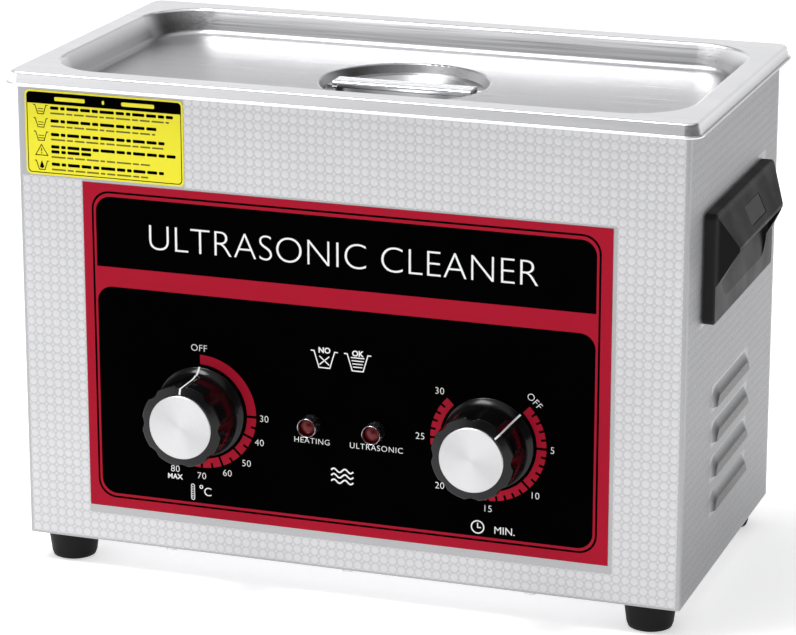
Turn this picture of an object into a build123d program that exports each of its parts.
from build123d import *
from math import atan, cos, degrees, radians, sin, sqrt, tan
import os

os.makedirs("parts", exist_ok=True)

# Ultrasonic cleaner with a heated 4.5 litre tank.
# Frame: +Z up, -Y is the control panel, +X is to the right of somebody facing it.
# The origin is on the floor, under the middle of the whole object. Millimetres.

# Driving dimensions
casing_width = 325.0
casing_depth = 172.0
overall_height = 243.0
foot_height = 14.0
tank_depth = 100.0
sheet = 1.0  # steel sheet of casing, tank and lid
knob_reach = 26.5  # how far the knobs stand out of the front
rear_reach = 5.5  # how far the lid and the fan guard stand out of the back
handle_reach = 13.2  # how far the side handles stand out of the sides

# The casing's faces
side_x = casing_width / 2
front_y = (knob_reach - casing_depth - rear_reach) / 2
back_y = front_y + casing_depth
mid_y = (front_y + back_y) / 2
casing_bottom = foot_height
flange_top = overall_height - sheet
seal_thickness = 1.0
casing_top = flange_top - sheet - seal_thickness
bend_radius = 1.6

# Controls on the front, measured from the casing's lower edge
temperature_x = -71.75
timer_x = 70.45
control_z = casing_bottom + 71.0
lamp_x = 15.9
overlay_thickness = 0.3
spindle_radius = 3.0
running_clearance = 0.05
bushing_radius = 5.0
panel_hole_clearance = 0.3


def front_plane(x, z, out=0.0):
    """A plane on the front, looking out of it: local x is +X and local y is +Z."""
    return Plane(origin=(x, front_y - out, z), x_dir=(1, 0, 0), z_dir=(0, -1, 0))


def rear_plane(x, z, out=0.0):
    """A plane on the back, looking out of it: local x is -X and local y is +Z."""
    return Plane(origin=(x, back_y + out, z), x_dir=(-1, 0, 0), z_dir=(0, 1, 0))


def down_plane(height):
    """A plane on the tank's centre line, looking down."""
    return Plane(origin=(0, mid_y, height), x_dir=(1, 0, 0), z_dir=(0, 0, -1))


def turning_plane(x, z):
    """A plane through a front spindle: local x is the radius, local y is the height."""
    return Plane(origin=(x, front_y, z), x_dir=(1, 0, 0), z_dir=(0, 0, -1))


# ---------------------------------------------------------------- louvres
louvre_count = 4
louvre_pitch = 17.1
louvre_height = 9.2
louvre_bulge = 2.1
louvre_half_flat = 26.0
louvre_lowest = casing_bottom + 30.4
louvre_knee = 4.6  # height where the hood's slope meets its flat lip
throat_depth = 3.0

def press_louvre(outline):
    """A long bulge with rounded ends, open at the bottom; the outline is (out, up)."""
    with BuildPart() as bulge:
        for end in (-1, 1):
            with BuildSketch(Plane.XZ.offset(-end * louvre_half_flat)):
                Polygon(*outline, align=None)
            revolve(axis=Axis((0, end * louvre_half_flat, 0), (1, 0, 0)))
        with BuildSketch(Plane.XZ):
            Polygon(*outline, align=None)
        extrude(amount=louvre_half_flat, both=True)
        split(bisect_by=Plane.XY, keep=Keep.TOP)
    return bulge.part


louvre_hood = press_louvre(
    [
        (-sheet / 2, 0),
        (louvre_bulge, 0),
        (louvre_bulge, louvre_knee),
        (0, louvre_height),
        (-sheet / 2, louvre_height),
    ]
)
louvre_throat = press_louvre(
    [
        (-throat_depth, 0),
        (louvre_bulge - sheet, 0),
        (louvre_bulge - sheet, louvre_knee),
        (-sheet, louvre_height),
        (-throat_depth, louvre_height),
    ]
)

louvre_places = []
for row in range(louvre_count):
    lip_z = louvre_lowest + row * louvre_pitch
    louvre_places.append(Location((side_x, mid_y, lip_z), (0, 0, 0)))
    louvre_places.append(Location((-side_x, mid_y, lip_z), (0, 0, 180)))

# ---------------------------------------------------------------- shared places
return_flange = 3.2  # top edge, turned in to carry the tank
bottom_lip = 10.0  # bottom edge, turned in to carry the bottom plate
lamp_hole_radius = 3.9

hatch_width = 266.0
hatch_bottom = casing_bottom + 14.0
hatch_top = casing_bottom + 196.0
panel_overlap = 12.0
rear_panel_width = hatch_width + 2 * panel_overlap
rear_panel_bottom = hatch_bottom - panel_overlap + 4.0
rear_panel_top = hatch_top + panel_overlap
rear_panel_mid_z = (rear_panel_bottom + rear_panel_top) / 2
rear_screw_x = (0, hatch_width / 2 + 4.0)
rear_screw_dz = (rear_panel_top - rear_panel_bottom) / 2 - 4.0
screw_radius = 1.5
screw_head_radius = 2.9
screw_head_height = 1.9

rear_screw_places = []
for dz in (-rear_screw_dz, rear_screw_dz):
    for x in (-rear_screw_x[1], 0, rear_screw_x[1]):
        rear_screw_places.append((x, dz))
for x in (-rear_screw_x[1], rear_screw_x[1]):
    rear_screw_places.append((x, 0))

bottom_screw_places = []
for y in (front_y + bottom_lip / 2, back_y - bottom_lip / 2):
    for x in (-90.0, 0.0, 90.0):
        bottom_screw_places.append((x, y))

foot_x = 145.3
foot_inset = 13.5
foot_places = {
    "foot_front_left": (-foot_x, front_y + foot_inset),
    "foot_front_right": (foot_x, front_y + foot_inset),
    "foot_rear_left": (-foot_x, back_y - foot_inset),
    "foot_rear_right": (foot_x, back_y - foot_inset),
}
foot_screw_radius = 2.0

# Side handle: a plate with a scooped finger pocket that passes through the casing
handle_half_length = 56.5
handle_bottom = casing_bottom + 128.0
handle_top = casing_bottom + 180.0
handle_plate = 5.4
scoop_half_length = 44.0
scoop_bottom = casing_bottom + 137.0
scoop_top = casing_bottom + 174.5
scoop_inside = 6.0  # how far the scoop reaches behind the casing's face
ramp_knee_depth = 2.2  # the ramp is nearly upright as far as its knee
ramp_knee = scoop_bottom + 11.0
ramp_slope = 0.62  # rise of the ramp for each millimetre inwards from its knee
scoop_wall = 1.5
scoop_gap = 0.4
ramp_at_casing = ramp_knee + (handle_plate - ramp_knee_depth) * ramp_slope
ramp_end = ramp_at_casing + scoop_inside * ramp_slope
cutout_bottom = ramp_at_casing - 2.6
cutout_top = scoop_top + scoop_wall + scoop_gap
cutout_half_length = scoop_half_length + scoop_wall + scoop_gap
handle_screw_places = []
for y in (mid_y - 51.0, mid_y + 51.0):
    for z in (handle_bottom + 6.0, handle_top - 6.0):
        handle_screw_places.append((y, z))

# ---------------------------------------------------------------- casing
with BuildPart() as casing:
    with BuildSketch(Plane.XY.offset(casing_bottom)):
        with Locations((0, mid_y)):
            RectangleRounded(casing_width, casing_depth, bend_radius)
    extrude(amount=casing_top - casing_bottom)
    with BuildSketch(Plane.XY.offset(casing_bottom + sheet)):
        with Locations((0, mid_y)):
            RectangleRounded(casing_width - 2 * sheet, casing_depth - 2 * sheet, bend_radius - sheet)
    extrude(amount=casing_top - casing_bottom - 2 * sheet, mode=Mode.SUBTRACT)
    with BuildSketch(Plane.XY.offset(casing_top - 2 * sheet)):
        with Locations((0, mid_y)):
            Rectangle(casing_width - 2 * return_flange, casing_depth - 2 * return_flange)
    extrude(amount=3 * sheet, mode=Mode.SUBTRACT)
    with BuildSketch(Plane.XY.offset(casing_bottom - sheet)):
        with Locations((0, mid_y)):
            Rectangle(casing_width - 2 * bottom_lip, casing_depth - 2 * bottom_lip)
    extrude(amount=3 * sheet, mode=Mode.SUBTRACT)
    # service hatch in the back, with its screw holes
    with BuildSketch(rear_plane(0, (hatch_bottom + hatch_top) / 2)):
        RectangleRounded(hatch_width, hatch_top - hatch_bottom, 4.0)
    extrude(amount=-2 * sheet, mode=Mode.SUBTRACT)
    with BuildSketch(rear_plane(0, rear_panel_mid_z)):
        with Locations(*rear_screw_places):
            Circle(screw_radius)
    extrude(amount=-2 * sheet, mode=Mode.SUBTRACT)
    # screw holes in the bottom lips
    with BuildSketch(Plane.XY.offset(casing_bottom)):
        with Locations(*bottom_screw_places):
            Circle(screw_radius)
    extrude(amount=2 * sheet, mode=Mode.SUBTRACT)
    # holes for the spindle bushings and the lamps
    with BuildSketch(front_plane(0, control_z)):
        with Locations((temperature_x, 0), (timer_x, 0)):
            Circle(bushing_radius + panel_hole_clearance)
        with Locations((-lamp_x, 0), (lamp_x, 0)):
            Circle(lamp_hole_radius)
    extrude(amount=-2 * sheet, mode=Mode.SUBTRACT)
    # side cut-outs for the handles' finger pockets
    with BuildSketch(Plane.YZ.offset(-casing_width)):
        with Locations((mid_y, (cutout_bottom + cutout_top) / 2)):
            Rectangle(2 * cutout_half_length, cutout_top - cutout_bottom)
        with Locations(*handle_screw_places):
            Circle(screw_radius)
    extrude(amount=2 * casing_width, mode=Mode.SUBTRACT)
    with Locations(*louvre_places):
        add(louvre_hood)
        add(louvre_throat, mode=Mode.SUBTRACT)
casing.part.label = "casing"
export_step(casing.part, "parts/casing.step")

# ---------------------------------------------------------------- bottom plate
plate_gap = 0.4
bottom_sheet = 1.2
plate_width = casing_width - 2 * (sheet + plate_gap)
plate_depth = casing_depth - 2 * (sheet + plate_gap)
plate_top = casing_bottom + sheet + bottom_sheet
plate_rim = 9.0
board_x = 10.0
board_width = 150.0
board_depth = 96.0
standoff_places = []
for dx in (-board_width / 2 + 5, board_width / 2 - 5):
    for dy in (-board_depth / 2 + 5, board_depth / 2 - 5):
        standoff_places.append((board_x + dx, mid_y + dy))

with BuildPart() as bottom_plate:
    with BuildSketch(Plane.XY.offset(casing_bottom + sheet)):
        with Locations((0, mid_y)):
            RectangleRounded(plate_width, plate_depth, 1.5)
    extrude(amount=bottom_sheet)
    # upturned rims along the two short sides
    with BuildSketch(Plane.XY.offset(plate_top)):
        for side in (-1, 1):
            with Locations((side * (plate_width - bottom_sheet) / 2, mid_y)):
                Rectangle(bottom_sheet, plate_depth - 40.0)
    extrude(amount=plate_rim)
    # two fields of cooling slots beside the board
    with BuildSketch(Plane.XY.offset(casing_bottom)):
        for x in (-108.0, 118.0):
            with Locations((x, mid_y)):
                with GridLocations(0, 9.0, 1, 8):
                    SlotOverall(40.0, 4.0)
        with Locations(*foot_places.values()):
            Circle(foot_screw_radius)
        with Locations(*bottom_screw_places):
            Circle(screw_radius)
        with Locations(*standoff_places):
            Circle(screw_radius)
    extrude(amount=3 * bottom_sheet, mode=Mode.SUBTRACT)
bottom_plate.part.label = "bottom_plate"
export_step(bottom_plate.part, "parts/bottom_plate.step")

# ---------------------------------------------------------------- feet
foot_top_radius = 12.5
foot_bottom_radius = 11.0
foot_spigot_radius = 3.2
foot_counterbore = 6.0
foot_screw_head = 4.2

for foot_name, (foot_at_x, foot_at_y) in foot_places.items():
    foot_axis = Axis((foot_at_x, foot_at_y, 0), (0, 0, 1))
    with BuildPart() as foot:
        with BuildSketch(Plane(origin=(foot_at_x, foot_at_y, 0), x_dir=(1, 0, 0), z_dir=(0, -1, 0))):
            with BuildLine():
                Polyline(
                    (0, 0),
                    (foot_bottom_radius - 2.6, 0),
                    (foot_bottom_radius - 0.7, 0.8),
                    (foot_bottom_radius, 2.8),
                    (foot_top_radius, foot_height),
                    (foot_spigot_radius, foot_height),
                    (foot_spigot_radius, foot_height + sheet),
                    (0, foot_height + sheet),
                    close=True,
                )
            make_face()
        revolve(axis=foot_axis)
        with BuildSketch(Plane.XY):
            with Locations((foot_at_x, foot_at_y)):
                Circle(foot_screw_head + 0.8)
        extrude(amount=foot_counterbore, mode=Mode.SUBTRACT)
        with BuildSketch(Plane.XY):
            with Locations((foot_at_x, foot_at_y)):
                Circle(foot_screw_radius)
        extrude(amount=foot_height + 2 * sheet, mode=Mode.SUBTRACT)
    foot.part.label = foot_name
    export_step(foot.part, f"parts/{foot_name}.step")

with BuildPart() as foot_screws:
    with BuildSketch(Plane.XY.offset(foot_counterbore - 2.6)):
        with Locations(*foot_places.values()):
            Circle(foot_screw_head)
    extrude(amount=2.6)
    with BuildSketch(Plane.XY.offset(foot_counterbore)):
        with Locations(*foot_places.values()):
            Circle(foot_screw_radius)
    extrude(amount=plate_top + 5.0 - foot_counterbore)
    with BuildSketch(Plane.XY.offset(plate_top)):
        with Locations(*foot_places.values()):
            RegularPolygon(4.0, 6)
    extrude(amount=3.2)
    # cross slots in the screw heads
    with BuildSketch(Plane.XY.offset(foot_counterbore - 2.6)):
        with Locations(*foot_places.values()):
            Rectangle(4.6, 0.9)
            Rectangle(0.9, 4.6)
    extrude(amount=1.2, mode=Mode.SUBTRACT)
foot_screws.part.label = "foot_screws"
export_step(foot_screws.part, "parts/foot_screws.step")

# ---------------------------------------------------------------- tank
tank_half_x = 154.8
tank_half_y = 76.8
tank_corner = 30.8
tank_run = 4.0  # how far each wall leans in from top to bottom
tank_draft = degrees(atan(tank_run / tank_depth))
tank_mouth_radius = 4.0
tank_floor_radius = 12.0
tank_bottom = flange_top - sheet - tank_depth
skirt_overhang = 1.25
skirt_drop = 4.5
skirt_width = casing_width + 2 * skirt_overhang
skirt_depth = casing_depth + 2 * skirt_overhang


def at_height(height):
    return lambda shape: abs(shape.center().Z - height) < 0.01


def inside_skirt(edge):
    """True for an edge of the basin, false for one of the flange's outer edges."""
    centre = edge.center()
    return abs(centre.X) < tank_half_x + 3.0 and abs(centre.Y - mid_y) < tank_half_y + 3.0


def drawn_basin(top, half_x, half_y, corner, depth, draft, floor_radius):
    """The solid shape of a basin with leaning walls and a rounded floor edge."""
    with BuildPart() as basin:
        with BuildSketch(down_plane(top)):
            RectangleRounded(2 * half_x, 2 * half_y, corner)
        extrude(amount=depth, taper=draft)
        fillet(basin.faces().sort_by(Axis.Z)[0].edges(), radius=floor_radius)
    return basin.part


tank_shape = drawn_basin(
    flange_top - sheet,
    tank_half_x + sheet,
    tank_half_y + sheet,
    tank_corner + sheet,
    tank_depth,
    tank_draft,
    tank_floor_radius + sheet,
)
tank_hollow = drawn_basin(
    flange_top, tank_half_x, tank_half_y, tank_corner, tank_depth, tank_draft, tank_floor_radius
)

with BuildPart() as tank:
    with BuildSketch(Plane.XY.offset(flange_top - sheet)):
        with Locations((0, mid_y)):
            RectangleRounded(skirt_width, skirt_depth, bend_radius + skirt_overhang)
    extrude(amount=sheet)
    with BuildSketch(down_plane(flange_top - sheet)):
        RectangleRounded(skirt_width, skirt_depth, bend_radius + skirt_overhang)
        RectangleRounded(
            skirt_width - 2 * sheet,
            skirt_depth - 2 * sheet,
            bend_radius + skirt_overhang - sheet,
            mode=Mode.SUBTRACT,
        )
    extrude(amount=skirt_drop - sheet)
    add(tank_shape)
    neck_edges = tank.edges().filter_by(at_height(flange_top - sheet)).filter_by(inside_skirt)
    fillet(neck_edges, radius=tank_mouth_radius - sheet)
    add(tank_hollow, mode=Mode.SUBTRACT)
    mouth_edges = tank.edges().filter_by(at_height(flange_top)).filter_by(inside_skirt)
    fillet(mouth_edges, radius=tank_mouth_radius)
tank.part.label = "tank"
export_step(tank.part, "parts/tank.step")

# ---------------------------------------------------------------- tank seal
seal_inset = 0.4
with BuildPart() as tank_seal:
    with BuildSketch(Plane.XY.offset(casing_top)):
        with Locations((0, mid_y)):
            RectangleRounded(
                casing_width - 2 * seal_inset,
                casing_depth - 2 * seal_inset,
                bend_radius,
            )
            Rectangle(
                casing_width - 2 * return_flange,
                casing_depth - 2 * return_flange,
                mode=Mode.SUBTRACT,
            )
    extrude(amount=seal_thickness)
tank_seal.part.label = "tank_seal"
export_step(tank_seal.part, "parts/tank_seal.step")

# ---------------------------------------------------------------- lid
lid_overhang = rear_reach
lid_width = casing_width + 2 * lid_overhang
lid_depth = casing_depth + 2 * lid_overhang
lid_corner = 7.5
lid_lip = 6.5
lid_bottom = overall_height - lid_lip
lid_draft = 15.0  # degrees by which the skirt leans in
bead_height = 1.3  # rolled edge round the bottom of the skirt
bead_reach = 0.7
skirt_width = lid_width - 2 * bead_reach
skirt_depth = lid_depth - 2 * bead_reach
skirt_corner = lid_corner - bead_reach
pan_half_x = 155.0
pan_half_y = 77.0
pan_corner = 31.0
pan_drop = 12.0
pan_run = 6.5  # how far the pan's walls lean in
pan_slope = degrees(atan(pan_run / pan_drop))
pan_skin = sheet / cos(radians(pan_slope)) - pan_run / pan_drop * sheet
pan_floor = overall_height - pan_drop
dish_radius = 41.0
ledge_outer = 38.5
ledge_inner = 33.0
ledge_drop = 4.2
bowl_drop = 12.3
ledge_z = pan_floor - ledge_drop
bowl_z = ledge_z - bowl_drop
dish_axis = Axis((0, mid_y, 0), (0, 0, 1))
centre_plane = Plane(origin=(0, mid_y, 0), x_dir=(1, 0, 0), z_dir=(0, -1, 0))


def on_pan(edge):
    """True for an edge of the pan, false for one of the lid's outer edges."""
    centre = edge.center()
    return abs(centre.X) < pan_half_x + 2.0 and abs(centre.Y - mid_y) < pan_half_y + 2.0


pan_shape = drawn_basin(
    flange_top,
    pan_half_x + pan_skin,
    pan_half_y + pan_skin,
    pan_corner + pan_skin,
    pan_drop,
    pan_slope,
    5.0,
)
pan_hollow = drawn_basin(
    overall_height, pan_half_x, pan_half_y, pan_corner, pan_drop, pan_slope, 4.0
)

with BuildPart() as rolled_edge:
    with BuildSketch(Plane.XY.offset(lid_bottom)):
        with Locations((0, mid_y)):
            RectangleRounded(lid_width, lid_depth, lid_corner)
    extrude(amount=bead_height)
    fillet(rolled_edge.edges().filter_by(Axis.Z, reverse=True), radius=0.5)

with BuildPart() as lid:
    with BuildSketch(Plane.XY.offset(lid_bottom)):
        with Locations((0, mid_y)):
            RectangleRounded(skirt_width, skirt_depth, skirt_corner)
    extrude(amount=lid_lip, taper=lid_draft)
    fillet(lid.faces().sort_by(Axis.Z)[-1].edges(), radius=1.3)
    add(rolled_edge)
    with BuildSketch(Plane.XY.offset(lid_bottom)):
        with Locations((0, mid_y)):
            RectangleRounded(skirt_width - 2 * sheet, skirt_depth - 2 * sheet, skirt_corner - sheet)
    extrude(amount=lid_lip - sheet, taper=lid_draft, mode=Mode.SUBTRACT)
    add(pan_shape)
    add(pan_hollow, mode=Mode.SUBTRACT)
    rim_edges = lid.edges().filter_by(at_height(overall_height)).filter_by(on_pan)
    fillet(rim_edges, radius=2.0)
    # round dish in the pan's floor: a step, a ledge and a bowl
    with BuildSketch(centre_plane):
        with BuildLine():
            Polyline(
                (0, bowl_z - sheet),
                (0, pan_floor - sheet / 2),
                (dish_radius + sheet, pan_floor - sheet / 2),
                (ledge_outer + sheet, ledge_z - sheet),
                (ledge_inner, ledge_z - sheet),
            )
            TangentArc((0, bowl_z - sheet), (ledge_inner, ledge_z - sheet), tangent=(1, 0))
        make_face()
    revolve(axis=dish_axis)
    with BuildSketch(centre_plane):
        with BuildLine():
            Polyline(
                (0, bowl_z),
                (0, pan_floor + sheet),
                (dish_radius, pan_floor + sheet),
                (dish_radius, pan_floor),
                (ledge_outer, ledge_z),
                (ledge_inner, ledge_z),
            )
            TangentArc((0, bowl_z), (ledge_inner, ledge_z), tangent=(1, 0))
        make_face()
    revolve(axis=dish_axis, mode=Mode.SUBTRACT)
    dish_edges = lid.edges().filter_by(GeomType.CIRCLE).filter_by(at_height(pan_floor))
    fillet(dish_edges.filter_by(lambda edge: abs(edge.radius - dish_radius) < 0.1), radius=1.2)
lid.part.label = "lid"
export_step(lid.part, "parts/lid.step")

# ---------------------------------------------------------------- lid strap
strap_width = 12.0
strap_height = 3.4
strap_sheet = 1.2
strap_half_length = 34.5
strap_tab_end = 38.0
strap_plane = Plane(origin=(0, mid_y, ledge_z), x_dir=(0, 1, 0), z_dir=(1, 0, 0))

with BuildPart() as lid_strap:
    with BuildSketch(strap_plane):
        with Locations((0, strap_height / 2)):
            RectangleRounded(strap_width, strap_height, 1.6)
        with Locations((0, strap_height / 2 - strap_sheet)):
            RectangleRounded(strap_width - 2 * strap_sheet, strap_height, 0.6, mode=Mode.SUBTRACT)
    extrude(amount=strap_half_length, both=True)
    with BuildSketch(Plane.XY.offset(ledge_z)):
        for side in (-1, 1):
            with Locations((side * (strap_half_length + strap_tab_end - 1.5) / 2, mid_y)):
                RectangleRounded(strap_tab_end - strap_half_length + 1.5, strap_width - 2.0, 0.8)
    extrude(amount=strap_sheet)
lid_strap.part.label = "lid_strap"
export_step(lid_strap.part, "parts/lid_strap.step")

# ---------------------------------------------------------------- films on the front
overlay_width = 258.0
overlay_bottom = casing_bottom + 18.0
overlay_top = casing_bottom + 178.0
overlay_x = -0.8

with BuildPart() as front_overlay:
    with BuildSketch(front_plane(overlay_x, (overlay_bottom + overlay_top) / 2)):
        Rectangle(overlay_width, overlay_top - overlay_bottom)
    extrude(amount=overlay_thickness)
    with BuildSketch(front_plane(0, control_z)):
        with Locations((temperature_x, 0), (timer_x, 0)):
            Circle(bushing_radius + panel_hole_clearance)
        with Locations((-lamp_x, 0), (lamp_x, 0)):
            Circle(lamp_hole_radius)
    extrude(amount=2 * overlay_thickness, mode=Mode.SUBTRACT)
front_overlay.part.label = "front_overlay"
export_step(front_overlay.part, "parts/front_overlay.step")

label_width = 80.0
label_height = 40.7
with BuildPart() as caution_label:
    with BuildSketch(front_plane(-118.3, casing_bottom + 200.0)):
        RectangleRounded(label_width, label_height, 2.5)
    extrude(amount=0.2)
caution_label.part.label = "caution_label"
export_step(caution_label.part, "parts/caution_label.step")

# ---------------------------------------------------------------- knobs
knob_gap = 0.6  # between the panel and the knob's skirt
knob_skirt_radius = 22.1
knob_skirt_edge = 1.4
knob_grip_base = 6.0
knob_grip_radius = 19.4
knob_top_radius = 19.9
knob_top_edge = 24.2
knob_shoulder_radius = 19.6
knob_shoulder = 24.6
knob_rim = 25.9  # height of the raised rim round the cap
knob_rim_radius = 15.8
knob_cap_radius = 15.4
knob_cap_seat = 25.0
knob_hollow_radius = 12.0
knob_hollow = 7.0
spindle_in_knob = 17.0
flute_count = 8
flute_radius = 5.0
flute_floor = 18.6  # distance of the flutes' floors from the axis

for knob_name, knob_x in (("temperature", temperature_x), ("timer", timer_x)):
    knob_axis = Axis((knob_x, front_y, control_z), (0, -1, 0))
    with BuildPart() as knob:
        with BuildSketch(turning_plane(knob_x, control_z)):
            with BuildLine():
                Polyline(
                    (knob_skirt_radius, knob_skirt_edge),
                    (knob_skirt_radius, knob_gap),
                    (knob_hollow_radius, knob_gap),
                    (knob_hollow_radius, knob_hollow),
                    (spindle_radius, knob_hollow),
                    (spindle_radius, spindle_in_knob),
                    (0, spindle_in_knob),
                    (0, knob_cap_seat),
                    (knob_cap_radius, knob_cap_seat),
                    (knob_cap_radius, knob_rim),
                    (knob_rim_radius, knob_rim),
                    (knob_shoulder_radius, knob_shoulder),
                    (knob_top_radius, knob_top_edge),
                    (knob_grip_radius, knob_grip_base),
                    close=True,
                )
            make_face()
        revolve(axis=knob_axis)
        with BuildSketch(front_plane(knob_x, control_z, knob_grip_base)):
            with PolarLocations(flute_floor + flute_radius, flute_count):
                Circle(flute_radius)
        extrude(amount=knob_reach, mode=Mode.SUBTRACT)
    knob.part.label = f"knob_{knob_name}"
    export_step(knob.part, f"parts/knob_{knob_name}.step")

    with BuildPart() as knob_cap:
        with BuildSketch(front_plane(knob_x, control_z, knob_cap_seat)):
            Circle(knob_cap_radius)
        extrude(amount=knob_reach - knob_cap_seat)
        chamfer(knob_cap.edges().sort_by(Axis.Y)[0], length=0.4)
    knob_cap.part.label = f"knob_{knob_name}_cap"
    export_step(knob_cap.part, f"parts/knob_{knob_name}_cap.step")

# ---------------------------------------------------------------- spindles and their works
bushing_reach = 4.4
spindle_depth = 9.0
thermostat_size = (36.0, 30.0, 24.0)
timer_size = (44.0, 44.0, 34.0)
works = {
    "thermostat": (temperature_x, thermostat_size),
    "timer": (timer_x, timer_size),
}

for works_name, (works_x, works_size) in works.items():
    with BuildPart() as works_body:
        with BuildSketch(front_plane(works_x, control_z, -sheet)):
            RectangleRounded(works_size[0], works_size[1], 2.0)
        extrude(amount=-works_size[2])
        # threaded bushing through the panel
        with BuildSketch(front_plane(works_x, control_z, -sheet)):
            Circle(bushing_radius)
        extrude(amount=bushing_reach + sheet)
        with BuildSketch(front_plane(works_x, control_z, bushing_reach)):
            Circle(spindle_radius + running_clearance)
        extrude(amount=-(bushing_reach + sheet + spindle_depth), mode=Mode.SUBTRACT)
        # four flat terminals on the back
        with BuildSketch(front_plane(works_x, control_z, -sheet - works_size[2])):
            with GridLocations(14.0, 12.0, 2, 2):
                Rectangle(6.3, 0.8)
        extrude(amount=-8.0)
    works_body.part.label = f"{works_name}_body"
    export_step(works_body.part, f"parts/{works_name}_body.step")

    with BuildPart() as spindle:
        with BuildSketch(front_plane(works_x, control_z, spindle_in_knob)):
            Circle(spindle_radius)
        extrude(amount=-(spindle_in_knob + sheet + spindle_depth - 0.5))
    spindle.part.label = f"{works_name}_spindle"
    export_step(spindle.part, f"parts/{works_name}_spindle.step")

with BuildPart() as spindle_nuts:
    with BuildSketch(front_plane(0, control_z, overlay_thickness)):
        for nut_x in (temperature_x, timer_x):
            with Locations((nut_x, 0)):
                RegularPolygon(7.6, 6)
                Circle(bushing_radius, mode=Mode.SUBTRACT)
    extrude(amount=2.6)
spindle_nuts.part.label = "spindle_nuts"
export_step(spindle_nuts.part, "parts/spindle_nuts.step")

# ---------------------------------------------------------------- indicator lamps
bezel_radius = 4.65
bezel_mouth = 4.15
bezel_bore = 3.7
bezel_seat = 1.3  # height of the step that the lens rests on
bezel_reach = 8.0
lens_reach = 6.9
lens_stem = bezel_bore - 0.05
lens_radius = bezel_mouth - 0.05
bezel_neck = lamp_hole_radius - 0.1
holder_length = 20.0
lamp_places = ((-lamp_x, 0), (lamp_x, 0))

with BuildPart() as lamp_bezels:
    with BuildSketch(front_plane(0, control_z, overlay_thickness)):
        with Locations(*lamp_places):
            Circle(bezel_radius)
    extrude(amount=bezel_reach - overlay_thickness)
    chamfer(lamp_bezels.edges().group_by(Axis.Y)[0], length=0.2)
    with BuildSketch(front_plane(0, control_z, bezel_reach)):
        with Locations(*lamp_places):
            Circle(bezel_bore)
    extrude(amount=-2 * bezel_reach, mode=Mode.SUBTRACT)
    with BuildSketch(front_plane(0, control_z, bezel_reach)):
        with Locations(*lamp_places):
            Circle(bezel_mouth)
    extrude(amount=bezel_seat - bezel_reach, mode=Mode.SUBTRACT)
lamp_bezels.part.label = "lamp_bezels"
export_step(lamp_bezels.part, "parts/lamp_bezels.step")

with BuildPart() as lamp_lenses:
    for lens_x in (-lamp_x, lamp_x):
        with BuildSketch(turning_plane(lens_x, control_z)):
            with BuildLine():
                Polyline(
                    (0, lens_reach - 2.6),
                    (0, overlay_thickness - 3.0),
                    (lens_stem, overlay_thickness - 3.0),
                    (lens_stem, bezel_seat),
                    (lens_radius, bezel_seat),
                    (lens_radius, lens_reach),
                    (lens_radius - 0.5, lens_reach),
                    (1.6, lens_reach - 1.9),
                    close=True,
                )
            make_face()
        revolve(axis=Axis((lens_x, front_y, control_z), (0, -1, 0)))
lamp_lenses.part.label = "lamp_lenses"
export_step(lamp_lenses.part, "parts/lamp_lenses.step")

with BuildPart() as lamp_holders:
    with BuildSketch(front_plane(0, control_z, overlay_thickness - 3.0)):
        with Locations(*lamp_places):
            Circle(5.4)
    extrude(amount=-holder_length)
    with BuildSketch(front_plane(0, control_z, -sheet)):
        with Locations(*lamp_places):
            RegularPolygon(6.2, 6)
            Circle(bezel_neck, mode=Mode.SUBTRACT)
    extrude(amount=overlay_thickness - 3.0 + sheet)
    with BuildSketch(front_plane(0, control_z, overlay_thickness - 3.0 - holder_length)):
        for holder_x in (-lamp_x, lamp_x):
            with Locations((holder_x - 2.2, 0), (holder_x + 2.2, 0)):
                Rectangle(0.8, 2.8)
    extrude(amount=-6.0)
lamp_holders.part.label = "lamp_holders"
export_step(lamp_holders.part, "parts/lamp_holders.step")

# ---------------------------------------------------------------- side handles
hood_top = handle_top - 1.0
hood_lip = casing_bottom + 162.0
hood_lip_edge = 1.8
hood_skin = 2.4
cheek_half_top = 55.0
cheek_bottom = casing_bottom + 146.0
inset_width = 28.0
inset_height = 10.0
inset_depth = 0.4
scoop_corner = 13.0
hood_rise = hood_top - hood_lip
hood_length = sqrt((handle_reach - handle_plate) ** 2 + hood_rise**2)
hood_lean = atan((handle_reach - handle_plate) / hood_rise)
handle_end_plane = Plane(origin=(side_x, mid_y, 0), x_dir=(1, 0, 0), z_dir=(0, -1, 0))
hood_face = Plane(
    origin=(side_x + handle_plate, mid_y, hood_top),
    x_dir=(0, 1, 0),
    z_dir=(cos(hood_lean), 0, sin(hood_lean)),
)

# the space that the fingers go into: a ramp up from the recess, then up behind the hood
with BuildPart() as scoop:
    with BuildSketch(handle_end_plane):
        Polygon(
            (handle_plate, scoop_bottom),
            (handle_plate - ramp_knee_depth, ramp_knee),
            (-scoop_inside, ramp_end),
            (-scoop_inside, scoop_top),
            (handle_plate - hood_skin, scoop_top),
            (handle_reach - hood_skin, hood_lip - hood_lip_edge + 1.0),
            (handle_reach - hood_skin, hood_lip - hood_lip_edge),
            (2 * handle_reach, hood_lip - hood_lip_edge),
            (2 * handle_reach, scoop_bottom),
            align=None,
        )
    extrude(amount=scoop_half_length, both=True)
    with BuildSketch(Plane.YZ.offset(side_x - 2 * scoop_inside)):
        with Locations((mid_y, (scoop_bottom + handle_top) / 2)):
            RectangleRounded(2 * scoop_half_length, handle_top - scoop_bottom, scoop_corner)
    extrude(amount=4 * handle_reach, mode=Mode.INTERSECT)

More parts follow.
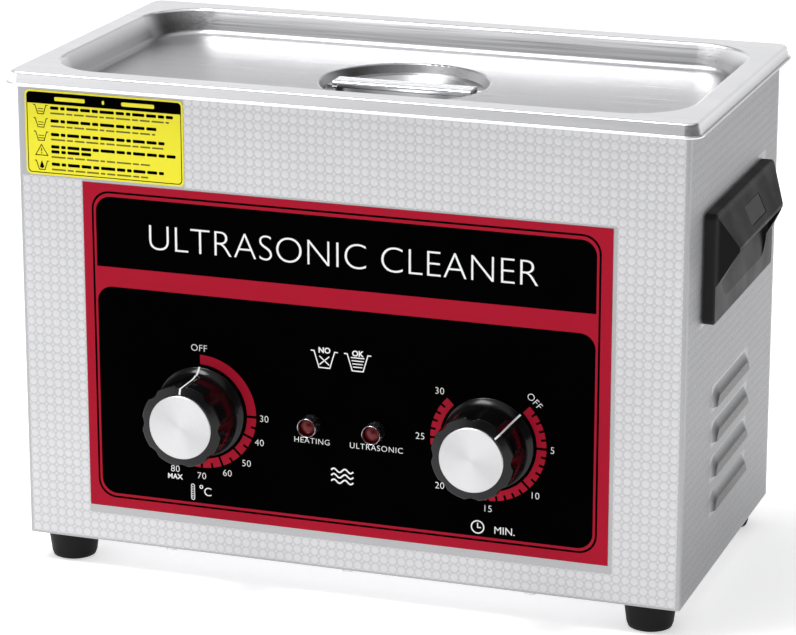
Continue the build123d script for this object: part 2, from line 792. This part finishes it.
with BuildPart() as side_handle_right:
    with BuildSketch(Plane.YZ.offset(side_x)):
        with Locations((mid_y, (handle_bottom + handle_top) / 2)):
            RectangleRounded(2 * handle_half_length, handle_top - handle_bottom, 3.0)
    extrude(amount=handle_plate)
    chamfer(side_handle_right.faces().sort_by(Axis.X)[-1].edges(), length=0.8)
    # hood over the finger pocket, with a closed cheek at each end
    with BuildSketch(handle_end_plane):
        Polygon(
            (handle_plate - 1.0, hood_top),
            (handle_plate, hood_top),
            (handle_reach, hood_lip),
            (handle_reach, hood_lip - hood_lip_edge),
            (handle_plate, cheek_bottom),
            (handle_plate - 1.0, cheek_bottom),
            align=None,
        )
    extrude(amount=cheek_half_top, both=True)
    # each cheek falls away from the lip's corner to the plate
    for end in (-1, 1):
        with BuildSketch(Plane.XY.offset(handle_bottom)):
            Polygon(
                (side_x + handle_plate, mid_y + end * cheek_half_top),
                (side_x + handle_reach, mid_y + end * (scoop_half_length - 1.5)),
                (side_x + 2 * handle_reach, mid_y + end * (scoop_half_length - 1.5)),
                (side_x + 2 * handle_reach, mid_y + end * (cheek_half_top + 1.0)),
                (side_x + handle_plate, mid_y + end * (cheek_half_top + 1.0)),
                align=None,
            )
        extrude(amount=handle_top - handle_bottom, mode=Mode.SUBTRACT)
    # the scoop's box behind the casing's side
    with BuildSketch(handle_end_plane):
        Polygon(
            (0, cutout_bottom + scoop_gap),
            (-scoop_inside - scoop_wall, ramp_end - 0.6),
            (-scoop_inside - scoop_wall, scoop_top + scoop_wall),
            (0, scoop_top + scoop_wall),
            align=None,
        )
    extrude(amount=scoop_half_length + scoop_wall, both=True)
    add(scoop.part, mode=Mode.SUBTRACT)
    # blank inset on the hood's face
    with BuildSketch(hood_face):
        with Locations((0, -0.57 * hood_length)):
            RectangleRounded(inset_width, inset_height, 0.8)
    extrude(amount=-inset_depth, mode=Mode.SUBTRACT)
    # blind holes for the screws that hold the handle from inside
    with BuildSketch(Plane.YZ.offset(side_x)):
        with Locations(*handle_screw_places):
            Circle(screw_radius)
    extrude(amount=handle_plate - 1.2, mode=Mode.SUBTRACT)
side_handle_right.part.label = "side_handle_right"
export_step(side_handle_right.part, "parts/side_handle_right.step")

with BuildPart() as side_handle_left:
    mirror(side_handle_right.part, about=Plane.YZ)
side_handle_left.part.label = "side_handle_left"
export_step(side_handle_left.part, "parts/side_handle_left.step")

with BuildPart() as handle_screws:
    for side in (-1, 1):
        with BuildSketch(Plane.YZ.offset(side * (side_x + handle_plate - 1.6))):
            with Locations(*handle_screw_places):
                Circle(screw_radius)
        extrude(amount=-side * (handle_plate - 1.6 + sheet))
        with BuildSketch(Plane.YZ.offset(side * (side_x - sheet))):
            with Locations(*handle_screw_places):
                Circle(screw_head_radius)
        extrude(amount=-side * screw_head_height)
handle_screws.part.label = "handle_screws"
export_step(handle_screws.part, "parts/handle_screws.step")

# ---------------------------------------------------------------- transducers under the tank
transducer_places = ((-90.0, mid_y), (0.0, mid_y), (90.0, mid_y))
horn_top_radius = 22.5
horn_neck_radius = 19.0
horn_length = 28.0
ceramic_thickness = 5.0
electrode_thickness = 0.5
ceramic_bore = 7.0
back_mass_length = 16.0
bolt_radius = 5.0
bolt_head_radius = 8.0
bolt_head_height = 6.0
horn_bottom = tank_bottom - horn_length
first_ceramic = horn_bottom - ceramic_thickness
first_electrode = first_ceramic - electrode_thickness
second_ceramic = first_electrode - ceramic_thickness
second_electrode = second_ceramic - electrode_thickness
back_mass_bottom = second_electrode - back_mass_length

with BuildPart() as transducer_horns:
    for horn_x, horn_y in transducer_places:
        with BuildSketch(Plane(origin=(horn_x, horn_y, 0), x_dir=(1, 0, 0), z_dir=(0, -1, 0))):
            Polygon(
                (0, tank_bottom),
                (horn_top_radius, tank_bottom),
                (horn_top_radius, tank_bottom - 6.0),
                (horn_neck_radius, tank_bottom - 16.0),
                (horn_neck_radius, horn_bottom),
                (bolt_radius, horn_bottom),
                (bolt_radius, horn_bottom + 14.0),
                (0, horn_bottom + 14.0),
                align=None,
            )
        revolve(axis=Axis((horn_x, horn_y, 0), (0, 0, 1)))
transducer_horns.part.label = "transducer_horns"
export_step(transducer_horns.part, "parts/transducer_horns.step")

with BuildPart() as transducer_ceramics:
    for ring_bottom in (first_ceramic, second_ceramic):
        with BuildSketch(Plane.XY.offset(ring_bottom)):
            with Locations(*transducer_places):
                Circle(horn_neck_radius)
                Circle(ceramic_bore, mode=Mode.SUBTRACT)
        extrude(amount=ceramic_thickness)
transducer_ceramics.part.label = "transducer_ceramics"
export_step(transducer_ceramics.part, "parts/transducer_ceramics.step")

with BuildPart() as transducer_electrodes:
    for plate_bottom, tab_angle in ((first_electrode, 0.0), (second_electrode, 90.0)):
        with BuildSketch(Plane.XY.offset(plate_bottom)):
            with Locations(*transducer_places):
                Circle(horn_neck_radius)
            with Locations(*[Location((x, y, 0), (0, 0, tab_angle)) for x, y in transducer_places]):
                with Locations((horn_neck_radius + 4.0, 0)):
                    Rectangle(12.0, 5.0)
            with Locations(*transducer_places):
                Circle(ceramic_bore, mode=Mode.SUBTRACT)
        extrude(amount=electrode_thickness)
transducer_electrodes.part.label = "transducer_electrodes"
export_step(transducer_electrodes.part, "parts/transducer_electrodes.step")

with BuildPart() as transducer_back_masses:
    with BuildSketch(Plane.XY.offset(back_mass_bottom)):
        with Locations(*transducer_places):
            Circle(horn_neck_radius)
    extrude(amount=back_mass_length)
    chamfer(transducer_back_masses.edges().group_by(Axis.Z)[0], length=1.0)
    with BuildSketch(Plane.XY.offset(back_mass_bottom)):
        with Locations(*transducer_places):
            Circle(bolt_radius)
    extrude(amount=back_mass_length, mode=Mode.SUBTRACT)
transducer_back_masses.part.label = "transducer_back_masses"
export_step(transducer_back_masses.part, "parts/transducer_back_masses.step")

with BuildPart() as transducer_bolts:
    with BuildSketch(Plane.XY.offset(back_mass_bottom)):
        with Locations(*transducer_places):
            Circle(bolt_radius)
    extrude(amount=horn_bottom + 12.0 - back_mass_bottom)
    with BuildSketch(Plane.XY.offset(back_mass_bottom - bolt_head_height)):
        with Locations(*transducer_places):
            Circle(bolt_head_radius)
            RegularPolygon(4.6, 6, mode=Mode.SUBTRACT)
    extrude(amount=bolt_head_height - 1.5)
    with BuildSketch(Plane.XY.offset(back_mass_bottom - 1.5)):
        with Locations(*transducer_places):
            Circle(bolt_head_radius)
    extrude(amount=1.5)
transducer_bolts.part.label = "transducer_bolts"
export_step(transducer_bolts.part, "parts/transducer_bolts.step")

# ---------------------------------------------------------------- heater pads on the tank's walls
heater_width = 210.0
heater_height = 46.0
heater_thickness = 2.0
heater_z = tank_bottom + 38.0
wall_lean = (flange_top - sheet - heater_z) * tank_run / tank_depth
draft_angle = radians(tank_draft)

for heater_name, out in (("heater_pad_front", -1), ("heater_pad_rear", 1)):
    wall_y = mid_y + out * (tank_half_y + sheet - wall_lean)
    wall_plane = Plane(
        origin=(0, wall_y, heater_z),
        x_dir=(1, 0, 0),
        z_dir=(0, out * cos(draft_angle), -sin(draft_angle)),
    )
    with BuildPart() as heater_pad:
        with BuildSketch(wall_plane):
            RectangleRounded(heater_width, heater_height, 4.0)
        extrude(amount=heater_thickness)
        # raised seam of the heating wire's terminals
        with BuildSketch(wall_plane.offset(heater_thickness)):
            with Locations((heater_width / 2 - 14.0, 0)):
                RectangleRounded(18.0, 22.0, 3.0)
        extrude(amount=1.5)
    heater_pad.part.label = heater_name
    export_step(heater_pad.part, f"parts/{heater_name}.step")

# ---------------------------------------------------------------- thermostat bulb and capillary
bulb_radius = 3.0
bulb_half_length = 36.0
bulb_x = -30.0
bulb_y = front_y + 34.0
bulb_z = tank_bottom - bulb_radius
capillary_radius = 0.8
capillary_start = (bulb_x - bulb_half_length, bulb_y, bulb_z)
capillary_end = (temperature_x, front_y + sheet + thermostat_size[2], control_z + 11.0)

with BuildPart() as thermostat_bulb:
    with BuildSketch(Plane.YZ.offset(bulb_x - bulb_half_length)):
        with Locations((bulb_y, bulb_z)):
            Circle(bulb_radius)
    extrude(amount=2 * bulb_half_length)
    with BuildLine():
        FilletPolyline(
            capillary_start,
            (capillary_start[0] - 24.0, bulb_y, bulb_z),
            (capillary_start[0] - 24.0, bulb_y, capillary_end[2]),
            (capillary_end[0], bulb_y, capillary_end[2]),
            capillary_end,
            radius=4.0,
        )
    with BuildSketch(Plane(origin=capillary_start, z_dir=(-1, 0, 0))):
        Circle(capillary_radius)
    sweep()
thermostat_bulb.part.label = "thermostat_bulb"
export_step(thermostat_bulb.part, "parts/thermostat_bulb.step")

# ---------------------------------------------------------------- driver electronics
standoff_height = 8.0
board_thickness = 1.6
board_bottom = plate_top + standoff_height
board_top = board_bottom + board_thickness

with BuildPart() as board_standoffs:
    with BuildSketch(Plane.XY.offset(plate_top)):
        with Locations(*standoff_places):
            RegularPolygon(3.4, 6)
    extrude(amount=standoff_height)
    with BuildSketch(Plane.XY.offset(casing_bottom + sheet)):
        with Locations(*standoff_places):
            Circle(screw_radius)
    extrude(amount=bottom_sheet)
    with BuildSketch(Plane.XY.offset(board_bottom)):
        with Locations(*standoff_places):
            Circle(screw_radius)
    extrude(amount=board_thickness)
    with BuildSketch(Plane.XY.offset(board_top)):
        with Locations(*standoff_places):
            Circle(screw_head_radius)
    extrude(amount=screw_head_height)
board_standoffs.part.label = "board_standoffs"
export_step(board_standoffs.part, "parts/board_standoffs.step")

with BuildPart() as driver_board:
    with BuildSketch(Plane.XY.offset(board_bottom)):
        with Locations((board_x, mid_y)):
            RectangleRounded(board_width, board_depth, 2.0)
        with Locations(*standoff_places):
            Circle(screw_radius, mode=Mode.SUBTRACT)
    extrude(amount=board_thickness)
driver_board.part.label = "driver_board"
export_step(driver_board.part, "parts/driver_board.step")

sink_x = board_x - 30.0
sink_y = mid_y + 26.0
sink_length = 70.0
sink_depth = 24.0
sink_height = 30.0
sink_base = 5.0
fin_pitch = 6.5
with BuildPart() as heat_sink:
    with BuildSketch(Plane.XY.offset(board_top)):
        with Locations((sink_x, sink_y - (sink_depth - sink_base) / 2)):
            Rectangle(sink_length, sink_base)
        with Locations((sink_x, sink_y)):
            with GridLocations(fin_pitch, 0, 10, 1):
                Rectangle(1.6, sink_depth)
    extrude(amount=sink_height)
heat_sink.part.label = "heat_sink"
export_step(heat_sink.part, "parts/heat_sink.step")

transistor_y = sink_y - sink_depth / 2
with BuildPart() as power_transistors:
    for dx in (-17.0, 17.0):
        with BuildSketch(Plane.XY.offset(board_top + 5.0)):
            with Locations((sink_x + dx, transistor_y - 2.5)):
                Rectangle(16.0, 5.0)
        extrude(amount=20.0)
        with BuildSketch(Plane.XY.offset(board_top)):
            with Locations((sink_x + dx, transistor_y - 2.5)):
                with GridLocations(5.0, 0, 3, 1):
                    Rectangle(1.2, 0.8)
        extrude(amount=5.0)
power_transistors.part.label = "power_transistors"
export_step(power_transistors.part, "parts/power_transistors.step")

core_x = board_x + 46.0
core_y = mid_y - 14.0
core_size = (42.0, 20.0, 38.0)
core_leg = 12.0
window_height = 26.0
window_mid_z = board_top + core_size[2] / 2
with BuildPart() as transformer_core:
    with BuildSketch(Plane(origin=(core_x, core_y, window_mid_z), x_dir=(1, 0, 0), z_dir=(0, -1, 0))):
        Rectangle(core_size[0], core_size[2])
        for side in (-1, 1):
            with Locations((side * (core_leg / 2 + 5.0), 0)):
                Rectangle(10.0, window_height, mode=Mode.SUBTRACT)
    extrude(amount=core_size[1] / 2, both=True)
transformer_core.part.label = "transformer_core"
export_step(transformer_core.part, "parts/transformer_core.step")

with BuildPart() as transformer_winding:
    with BuildSketch(Plane.XY.offset(window_mid_z - window_height / 2 + 0.5)):
        with Locations((core_x, core_y)):
            RectangleRounded(core_leg + 18.0, core_size[1] + 16.0, 5.0)
            Rectangle(core_leg, core_size[1], mode=Mode.SUBTRACT)
    extrude(amount=window_height - 1.0)
transformer_winding.part.label = "transformer_winding"
export_step(transformer_winding.part, "parts/transformer_winding.step")

with BuildPart() as capacitors:
    with BuildSketch(Plane.XY.offset(board_top)):
        for dx in (-52.0, -28.0):
            with Locations((board_x + dx, mid_y - 26.0)):
                Circle(9.0)
    extrude(amount=32.0)
    fillet(capacitors.edges().group_by(Axis.Z)[-1], radius=1.2)
    with BuildSketch(Plane.XY.offset(board_top)):
        with Locations((board_x - 2.0, mid_y - 26.0), (board_x - 2.0, mid_y - 8.0)):
            RectangleRounded(26.0, 11.0, 1.0)
    extrude(amount=19.0)
capacitors.part.label = "capacitors"
export_step(capacitors.part, "parts/capacitors.step")

terminal_x = board_x + 46.0
terminal_y = mid_y + 34.0
with BuildPart() as terminal_block:
    with BuildSketch(Plane.XY.offset(board_top)):
        with Locations((terminal_x, terminal_y)):
            Rectangle(36.0, 10.0)
    extrude(amount=13.0)
    with BuildSketch(Plane.XY.offset(board_top + 13.0)):
        with Locations((terminal_x, terminal_y)):
            with GridLocations(7.0, 0, 5, 1):
                Circle(2.2)
    extrude(amount=-6.0, mode=Mode.SUBTRACT)
terminal_block.part.label = "terminal_block"
export_step(terminal_block.part, "parts/terminal_block.step")

# ---------------------------------------------------------------- rear panel
fan_x = 78.0
fan_z = casing_bottom + 66.0
fan_size = 60.0
fan_hole_pitch = 50.0
fan_opening_radius = 28.0
inlet_x = -92.0
inlet_z = casing_bottom + 66.0
inlet_body = (28.0, 47.0)
switch_x = -92.0
switch_z = casing_bottom + 112.0
switch_body = (13.0, 19.0)
fan_screw_places = []
for dx in (-fan_hole_pitch / 2, fan_hole_pitch / 2):
    for dz in (-fan_hole_pitch / 2, fan_hole_pitch / 2):
        fan_screw_places.append((dx, dz))

with BuildPart() as rear_panel:
    with BuildSketch(rear_plane(0, rear_panel_mid_z)):
        RectangleRounded(rear_panel_width, rear_panel_top - rear_panel_bottom, 4.0)
        with Locations(*rear_screw_places):
            Circle(screw_radius, mode=Mode.SUBTRACT)
    extrude(amount=sheet)
    with BuildSketch(rear_plane(fan_x, fan_z)):
        Circle(fan_opening_radius)
        with Locations(*fan_screw_places):
            Circle(screw_radius)
    extrude(amount=sheet, mode=Mode.SUBTRACT)
    with BuildSketch(rear_plane(inlet_x, inlet_z)):
        Rectangle(inlet_body[0] + 0.4, inlet_body[1] + 0.4)
    extrude(amount=sheet, mode=Mode.SUBTRACT)
    with BuildSketch(rear_plane(switch_x, switch_z)):
        Rectangle(switch_body[0] + 0.4, switch_body[1] + 0.4)
    extrude(amount=sheet, mode=Mode.SUBTRACT)
rear_panel.part.label = "rear_panel"
export_step(rear_panel.part, "parts/rear_panel.step")

with BuildPart() as panel_screws:
    with BuildSketch(rear_plane(0, rear_panel_mid_z, sheet)):
        with Locations(*rear_screw_places):
            Circle(screw_head_radius)
    extrude(amount=screw_head_height)
    fillet(panel_screws.edges().group_by(Axis.Y)[-1], radius=0.9)
    with BuildSketch(rear_plane(0, rear_panel_mid_z, sheet)):
        with Locations(*rear_screw_places):
            Circle(screw_radius)
    extrude(amount=-6.0)
    with BuildSketch(rear_plane(0, rear_panel_mid_z, sheet + screw_head_height)):
        with Locations(*rear_screw_places):
            Rectangle(3.4, 0.7)
            Rectangle(0.7, 3.4)
    extrude(amount=-0.9, mode=Mode.SUBTRACT)
panel_screws.part.label = "panel_screws"
export_step(panel_screws.part, "parts/panel_screws.step")

with BuildPart() as bottom_screws:
    with BuildSketch(Plane.XY.offset(casing_bottom - screw_head_height)):
        with Locations(*bottom_screw_places):
            Circle(screw_head_radius)
    extrude(amount=screw_head_height)
    with BuildSketch(Plane.XY.offset(casing_bottom)):
        with Locations(*bottom_screw_places):
            Circle(screw_radius)
    extrude(amount=6.0)
    with BuildSketch(Plane.XY.offset(casing_bottom - screw_head_height)):
        with Locations(*bottom_screw_places):
            Rectangle(3.4, 0.7)
            Rectangle(0.7, 3.4)
    extrude(amount=0.9, mode=Mode.SUBTRACT)
bottom_screws.part.label = "bottom_screws"
export_step(bottom_screws.part, "parts/bottom_screws.step")

# ---------------------------------------------------------------- fan
fan_depth = 15.0
fan_duct_radius = 28.5
rotor_radius = 27.3
hub_radius = 16.0
motor_radius = 13.0
blade_count = 7
blade_depth = 9.0
rotor_back = -fan_depth + 3.0  # inner end of the rotor, measured out of the back

with BuildPart() as fan_frame:
    with BuildSketch(rear_plane(fan_x, fan_z)):
        RectangleRounded(fan_size, fan_size, 4.0)
        Circle(fan_duct_radius, mode=Mode.SUBTRACT)
        with Locations(*fan_screw_places):
            Circle(screw_radius, mode=Mode.SUBTRACT)
    extrude(amount=-fan_depth)
    # motor seat and its three spokes at the inner end
    with BuildSketch(rear_plane(fan_x, fan_z, -fan_depth)):
        Circle(motor_radius)
        with PolarLocations((motor_radius + fan_duct_radius) / 2, 3, start_angle=90):
            Rectangle(fan_duct_radius - motor_radius + 1.0, 3.0)
    extrude(amount=2.4)
    with BuildSketch(rear_plane(fan_x, fan_z, -fan_depth)):
        Circle(spindle_radius / 2)
    extrude(amount=fan_depth - 4.0)
fan_frame.part.label = "fan_frame"
export_step(fan_frame.part, "parts/fan_frame.step")

with BuildPart() as fan_rotor:
    with BuildSketch(rear_plane(fan_x, fan_z, rotor_back)):
        Circle(hub_radius)
    extrude(amount=fan_depth - 4.0)
    fillet(fan_rotor.edges().group_by(Axis.Y)[-1], radius=1.5)
    with Locations(rear_plane(fan_x, fan_z, rotor_back + blade_depth / 2 + 0.6)):
        with PolarLocations((hub_radius + rotor_radius) / 2 - 0.6, blade_count):
            Box(rotor_radius - hub_radius + 1.0, 13.0, 1.2, rotation=(38, 0, 0))
    with BuildSketch(rear_plane(fan_x, fan_z, rotor_back)):
        Circle(rotor_radius)
    extrude(amount=fan_depth, mode=Mode.INTERSECT)
    with BuildSketch(rear_plane(fan_x, fan_z, rotor_back)):
        Circle(spindle_radius / 2 + running_clearance)
    extrude(amount=fan_depth - 6.0, mode=Mode.SUBTRACT)
fan_rotor.part.label = "fan_rotor"
export_step(fan_rotor.part, "parts/fan_rotor.step")

guard_wire = 0.9
guard_lift = rear_reach - sheet - guard_wire
guard_radii = (7.0, 14.0, 21.0, 28.0)
eye_radius = fan_hole_pitch / sqrt(2)
eye_size = 4.0
arm_start = 5.0
arm_end = 32.2
with BuildPart() as fan_guard:
    for ring_radius in guard_radii:
        with BuildSketch(Plane(origin=(fan_x, back_y, fan_z), x_dir=(1, 0, 0), z_dir=(0, 0, -1))):
            with Locations((ring_radius, -sheet - guard_lift)):
                Circle(guard_wire)
        revolve(axis=Axis((fan_x, back_y, fan_z), (0, 1, 0)))
    # four arms under the rings, with an eye for each screw
    with BuildSketch(rear_plane(fan_x, fan_z, sheet)):
        with PolarLocations(eye_radius, 4, start_angle=45):
            Circle(eye_size)
            Circle(screw_radius + 0.1, mode=Mode.SUBTRACT)
    extrude(amount=2 * guard_wire)
    with BuildSketch(rear_plane(fan_x, fan_z, sheet)):
        with PolarLocations((arm_start + arm_end) / 2, 4, start_angle=45):
            Rectangle(arm_end - arm_start, 2 * guard_wire)
    extrude(amount=guard_lift)
fan_guard.part.label = "fan_guard"
export_step(fan_guard.part, "parts/fan_guard.step")

with BuildPart() as fan_screws:
    with BuildSketch(rear_plane(fan_x, fan_z, sheet + 2 * guard_wire)):
        with Locations(*fan_screw_places):
            Circle(screw_head_radius)
    extrude(amount=screw_head_height)
    fillet(fan_screws.edges().group_by(Axis.Y)[-1], radius=0.9)
    with BuildSketch(rear_plane(fan_x, fan_z, sheet + 2 * guard_wire)):
        with Locations(*fan_screw_places):
            Circle(screw_radius)
    extrude(amount=-(sheet + 2 * guard_wire + fan_depth + 3.0))
fan_screws.part.label = "fan_screws"
export_step(fan_screws.part, "parts/fan_screws.step")

# ---------------------------------------------------------------- mains inlet with fuse drawer
inlet_flange = (32.0, 52.0)
inlet_flange_thickness = 2.4
inlet_depth = 24.0
socket_size = (24.0, 16.4)
socket_dz = 9.5
socket_depth = 18.0
drawer_size = (22.0, 9.0)
drawer_dz = -13.0
drawer_depth = 18.0
drawer_gap = 0.15
pin_size = (2.0, 4.0)
pin_length = 12.0
pin_places = ((-7.0, -1.5), (0.0, 1.5), (7.0, -1.5))
inlet_face = sheet + inlet_flange_thickness
socket_cut = 4.6
socket_outline = [
    (-socket_size[0] / 2, -socket_size[1] / 2),
    (socket_size[0] / 2, -socket_size[1] / 2),
    (socket_size[0] / 2, socket_size[1] / 2 - socket_cut),
    (socket_size[0] / 2 - socket_cut, socket_size[1] / 2),
    (-socket_size[0] / 2 + socket_cut, socket_size[1] / 2),
    (-socket_size[0] / 2, socket_size[1] / 2 - socket_cut),
]

with BuildPart() as mains_inlet:
    with BuildSketch(rear_plane(inlet_x, inlet_z, sheet)):
        RectangleRounded(inlet_flange[0], inlet_flange[1], 2.5)
    extrude(amount=inlet_flange_thickness)
    chamfer(mains_inlet.edges().group_by(Axis.Y)[-1], length=0.6)
    with BuildSketch(rear_plane(inlet_x, inlet_z, sheet)):
        Rectangle(inlet_body[0], inlet_body[1])
    extrude(amount=-inlet_depth)
    # appliance socket, with its two upper corners cut off
    with BuildSketch(rear_plane(inlet_x, inlet_z + socket_dz, inlet_face)):
        Polygon(*socket_outline, align=None)
    extrude(amount=-socket_depth, mode=Mode.SUBTRACT)
    with BuildSketch(rear_plane(inlet_x, inlet_z + drawer_dz, inlet_face)):
        Rectangle(drawer_size[0] + 2 * drawer_gap, drawer_size[1] + 2 * drawer_gap)
    extrude(amount=-(drawer_depth + 1.0), mode=Mode.SUBTRACT)
    # slots that hold the pins
    with BuildSketch(rear_plane(inlet_x, inlet_z + socket_dz, inlet_face - socket_depth)):
        with Locations(*pin_places):
            Rectangle(*pin_size)
    extrude(amount=-inlet_depth, mode=Mode.SUBTRACT)
mains_inlet.part.label = "mains_inlet"
export_step(mains_inlet.part, "parts/mains_inlet.step")

with BuildPart() as inlet_pins:
    with BuildSketch(rear_plane(inlet_x, inlet_z + socket_dz, inlet_face - socket_depth)):
        with Locations(*pin_places):
            Rectangle(*pin_size)
    extrude(amount=pin_length)
    with BuildSketch(rear_plane(inlet_x, inlet_z + socket_dz, inlet_face - socket_depth)):
        with Locations(*pin_places):
            Rectangle(*pin_size)
    extrude(amount=-(inlet_depth + inlet_face - socket_depth + 6.0))
inlet_pins.part.label = "inlet_pins"
export_step(inlet_pins.part, "parts/inlet_pins.step")

fuse_radius = 2.5
fuse_length = 20.0
fuse_out = inlet_face - 9.0
drawer_tab = 1.6
with BuildPart() as fuse_drawer:
    with BuildSketch(rear_plane(inlet_x, inlet_z + drawer_dz, inlet_face)):
        Rectangle(*drawer_size)
    extrude(amount=-drawer_depth)
    with BuildSketch(rear_plane(inlet_x, inlet_z + drawer_dz, inlet_face)):
        RectangleRounded(drawer_size[0] + 2.0, drawer_size[1] + 1.0, 1.0)
    extrude(amount=drawer_tab)
    # finger notch in the tab's upper edge
    with BuildSketch(rear_plane(inlet_x, inlet_z + drawer_dz + drawer_size[1] / 2 + 0.5, inlet_face + 0.6)):
        Rectangle(8.0, 4.0)
    extrude(amount=drawer_tab, mode=Mode.SUBTRACT)
    # cradle for the fuse, open at the top
    with BuildSketch(rear_plane(inlet_x, inlet_z + drawer_dz + 1.0, fuse_out + fuse_radius + 0.2)):
        Rectangle(fuse_length + 0.4, drawer_size[1])
    extrude(amount=-2 * (fuse_radius + 0.2), mode=Mode.SUBTRACT)
fuse_drawer.part.label = "fuse_drawer"
export_step(fuse_drawer.part, "parts/fuse_drawer.step")

with BuildPart() as fuse:
    with BuildSketch(Plane.YZ.offset(inlet_x - fuse_length / 2)):
        with Locations((back_y + fuse_out, inlet_z + drawer_dz - 0.9)):
            Circle(fuse_radius)
    extrude(amount=fuse_length)
fuse.part.label = "fuse"
export_step(fuse.part, "parts/fuse.step")

# ---------------------------------------------------------------- mains switch
switch_flange = (15.4, 21.4)
switch_flange_thickness = 2.0
switch_depth = 18.0
switch_cavity = (11.0, 17.0)
switch_cavity_depth = 11.0
switch_face = sheet + switch_flange_thickness
rocker_width = 10.4
rocker_radius = 8.0
rocker_tilt = radians(8.0)
rocker_middle = 2.6  # height of the rocker's valley over its pivot
pivot_out = 0.0
pivot_radius = 1.0
pivot_reach = 0.7

with BuildPart() as switch_housing:
    with BuildSketch(rear_plane(switch_x, switch_z, sheet)):
        RectangleRounded(switch_flange[0], switch_flange[1], 1.2)
    extrude(amount=switch_flange_thickness)
    chamfer(switch_housing.edges().group_by(Axis.Y)[-1], length=0.5)
    with BuildSketch(rear_plane(switch_x, switch_z, sheet)):
        Rectangle(*switch_body)
    extrude(amount=-switch_depth)
    with BuildSketch(rear_plane(switch_x, switch_z, switch_face)):
        Rectangle(*switch_cavity)
    extrude(amount=-switch_cavity_depth, mode=Mode.SUBTRACT)
    with BuildSketch(Plane.YZ.offset(switch_x)):
        with Locations((back_y + pivot_out, switch_z)):
            Circle(pivot_radius + running_clearance)
    extrude(amount=rocker_width / 2 + pivot_reach + 0.1, both=True, mode=Mode.SUBTRACT)
    with BuildSketch(rear_plane(switch_x, switch_z, sheet - switch_depth)):
        with GridLocations(0, 7.0, 1, 2):
            Rectangle(4.8, 0.8)
    extrude(amount=-7.0)
switch_housing.part.label = "switch_housing"
export_step(switch_housing.part, "parts/switch_housing.step")

rocker_plane = Plane(
    origin=(switch_x, back_y + pivot_out, switch_z),
    x_dir=(0, sin(rocker_tilt), cos(rocker_tilt)),
    z_dir=(-1, 0, 0),
)
rocker_end = rocker_middle + rocker_radius * tan(rocker_tilt)
with BuildPart() as switch_rocker:
    with BuildSketch(rocker_plane):
        Circle(rocker_radius)
        Polygon(
            (0, rocker_middle),
            (rocker_radius, rocker_end),
            (rocker_radius, -4.0),
            (-rocker_radius, -4.0),
            (-rocker_radius, rocker_end),
            align=None,
            mode=Mode.INTERSECT,
        )
    extrude(amount=rocker_width / 2, both=True)
    with BuildSketch(rocker_plane):
        Circle(pivot_radius)
    extrude(amount=rocker_width / 2 + pivot_reach, both=True)
switch_rocker.part.label = "switch_rocker"
export_step(switch_rocker.part, "parts/switch_rocker.step")

# ---------------------------------------------------------------- leads
lead_radius = 1.0
lead_bend = 3.4
lead_height = board_top + sink_height + 8.0
bus_half_length = 92.0
drop_x = board_x + 18.0
drop_radius = 0.8

with BuildPart() as transducer_leads:
    for bus_y, tab_top in (
        (mid_y - horn_neck_radius - 8.0, first_electrode + electrode_thickness),
        (mid_y + horn_neck_radius + 8.0, second_electrode + electrode_thickness),
    ):
        with BuildSketch(Plane.YZ.offset(-bus_half_length)):
            with Locations((bus_y, tab_top + lead_radius)):
                Circle(lead_radius)
        extrude(amount=2 * bus_half_length)
        with BuildSketch(Plane.XY.offset(board_top)):
            with Locations((drop_x, bus_y)):
                Circle(drop_radius)
        extrude(amount=tab_top + lead_radius - board_top)
transducer_leads.part.label = "transducer_leads"
export_step(transducer_leads.part, "parts/transducer_leads.step")

with BuildPart() as mains_leads:
    for lead, (pin_x, pin_dz) in enumerate(pin_places):
        start_x = inlet_x - pin_x
        start_y = back_y + sheet - inlet_depth - 7.0
        start_z = inlet_z + socket_dz + pin_dz
        run_y = start_y - 9.0 - 3.0 * lead
        run_z = lead_height + 3.0 * lead
        end_x = terminal_x + 7.0 * (lead - 1)
        lead_start = (start_x, start_y, start_z)
        with BuildLine():
            FilletPolyline(
                lead_start,
                (start_x, run_y, start_z),
                (start_x, run_y, run_z),
                (end_x, run_y, run_z),
                (end_x, terminal_y, run_z),
                (end_x, terminal_y, board_top + 13.0),
                radius=lead_bend,
            )
        with BuildSketch(Plane(origin=lead_start, z_dir=(0, -1, 0))):
            Circle(lead_radius)
        sweep()
mains_leads.part.label = "mains_leads"
export_step(mains_leads.part, "parts/mains_leads.step")
